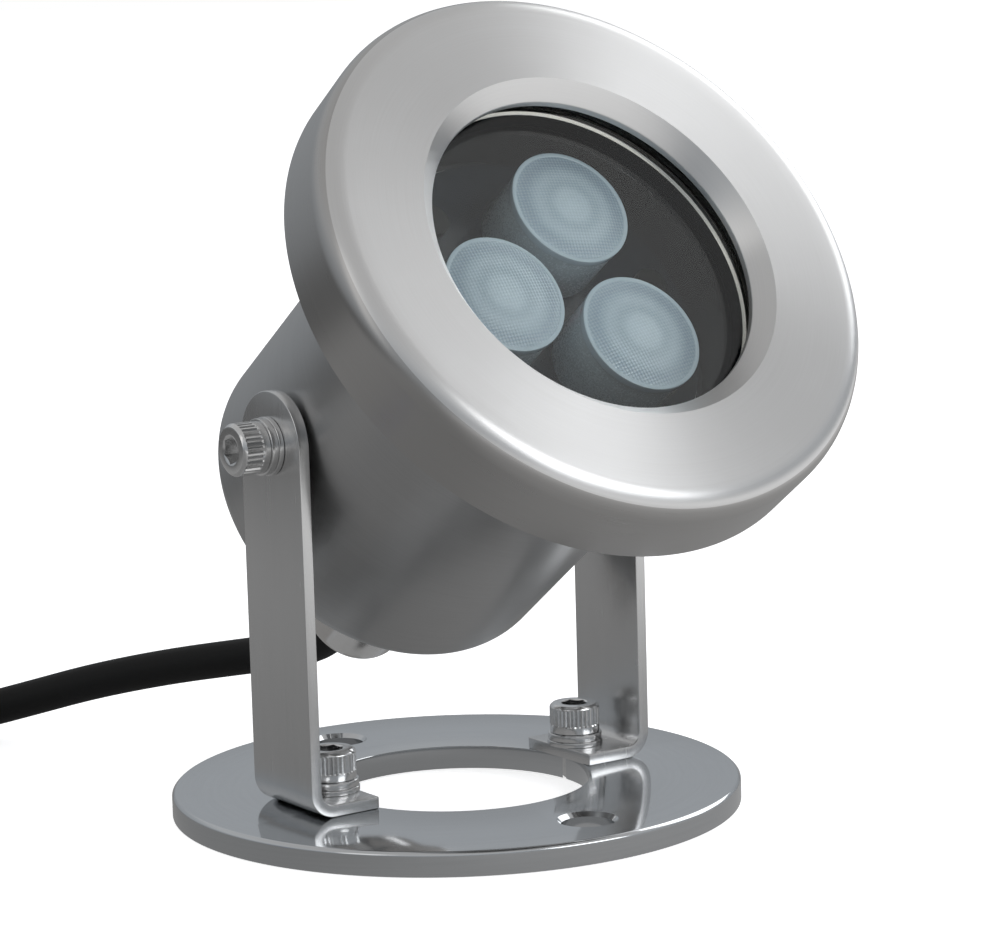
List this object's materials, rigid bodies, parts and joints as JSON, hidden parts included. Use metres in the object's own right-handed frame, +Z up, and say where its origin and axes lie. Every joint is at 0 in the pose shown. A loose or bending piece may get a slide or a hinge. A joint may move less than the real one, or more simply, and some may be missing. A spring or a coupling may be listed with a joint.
{
  "type": "underwater pool light",
  "caption": "Stainless underwater spot lamp with a round glass front, tilting between two bent arms on a ring-shaped base plate, with a cable gland and lead.",
  "frame": {"origin": "centre of the base plate's underside, on the axis of its centre hole", "axes": "+Z up from the surface that the light stands on; -Y the side that the lamp looks towards; X along the tilt axis"},
  "size_m": [0.1775, 0.1912, 0.1326],
  "materials": {
    "bezel_steel": "turned satin with a fine circular grain",
    "housing_steel": "polished satin",
    "stand_steel": "polished, with bright cut edges",
    "fastener_steel": "bright machined",
    "gland_metal": "bright turned, nickel plated",
    "standoff_metal": "turned",
    "cable_rubber": "matt black sheath",
    "seal_rubber": "moulded",
    "window_glass": "clear toughened",
    "lens_acrylic": "clear, with a beaded front",
    "holder_plastic": "frosted",
    "board_face": "black solder mask",
    "led_package": "ceramic with a phosphor dome",
    "sink_aluminium": "milled",
    "driver_mask": "green solder mask",
    "driver_parts": "moulded",
    "terminal_plastic": "moulded",
    "wire_red": "insulation",
    "wire_black": "insulation",
    "wire_brown": "insulation",
    "wire_blue": "insulation"
  },
  "bodies": {
    "stand": {"base_plate": "stand_steel", "left_arm": "stand_steel", "right_arm": "stand_steel", "base_screws": "fastener_steel", "base_spring_washers": "fastener_steel", "base_flat_washers": "fastener_steel", "cable_lead": "cable_rubber", "cable_run": "cable_rubber", "cable_coil": "cable_rubber", "end_core_brown": "wire_brown", "end_core_blue": "wire_blue", "end_ferrules": "fastener_steel"},
    "head": {"front_bezel": "bezel_steel", "lamp_housing": "housing_steel", "housing_flange": "housing_steel", "pivot_bosses": "housing_steel", "pivot_screws": "fastener_steel", "pivot_spring_washers": "fastener_steel", "pivot_flat_washers": "fastener_steel", "bezel_screws": "fastener_steel", "board_screws": "fastener_steel", "driver_screws": "fastener_steel", "gland_body": "gland_metal", "gland_dome_nut": "gland_metal", "gland_locknut": "gland_metal", "driver_standoffs": "standoff_metal", "cable_inlet": "cable_rubber", "front_gasket": "seal_rubber", "rear_gasket": "seal_rubber", "gland_seal": "seal_rubber", "gland_washer": "seal_rubber", "front_glass": "window_glass", "lenses": "lens_acrylic", "lens_holders": "holder_plastic", "led_board": "board_face", "leds": "led_package", "heat_sink": "sink_aluminium", "driver_board": "driver_mask", "driver_capacitors": "driver_parts", "driver_inductor": "driver_parts", "driver_chip": "driver_parts", "terminal_block": "terminal_plastic", "led_wire_red": "wire_red", "led_wire_black": "wire_black", "core_brown": "wire_brown", "core_blue": "wire_blue"}
  },
  "joints": [
    {"name": "head_tilt", "type": "hinge", "parent": "stand", "child": "head", "pos_m": [0, 0, 0.0637], "axis": [-1, 0, 0], "range_deg": [-48, 53.9], "deforming": ["cable_lead"]}
  ]
}
